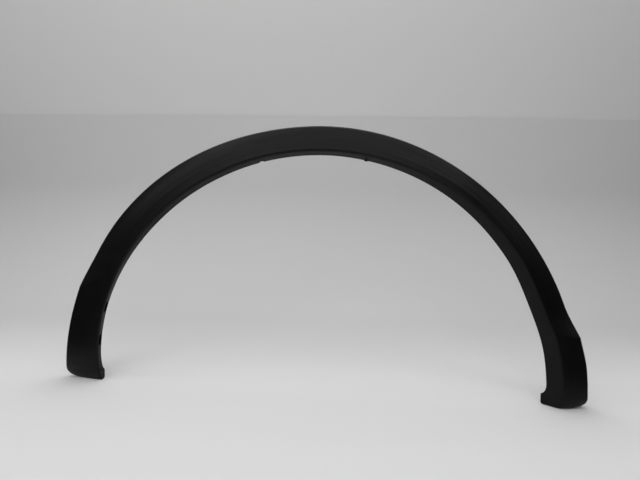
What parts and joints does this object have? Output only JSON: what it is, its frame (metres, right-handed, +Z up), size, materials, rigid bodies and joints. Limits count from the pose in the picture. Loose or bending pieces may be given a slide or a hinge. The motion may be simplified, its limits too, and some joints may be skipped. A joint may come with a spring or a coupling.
{
  "type": "wheel arch repair panel",
  "caption": "Arched one-piece moulded wheel arch panel with a rolled lip, a creased outer face, two hooked feet and moulded fixing points behind.",
  "frame": {"origin": "middle of the footprint at floor level, the part standing on its two feet", "axes": "+X along the vehicle from the left foot to the right foot, +Y in towards the vehicle's body so the face looks along -Y, +Z up"},
  "size_m": [0.9104, 0.1062, 0.4588],
  "materials": {
    "black_plastic": "satin near-black, moulded-in colour with a fine grain"
  },
  "bodies": {
    "root": {"arch_panel": "black_plastic"}
  },
  "joints": []
}
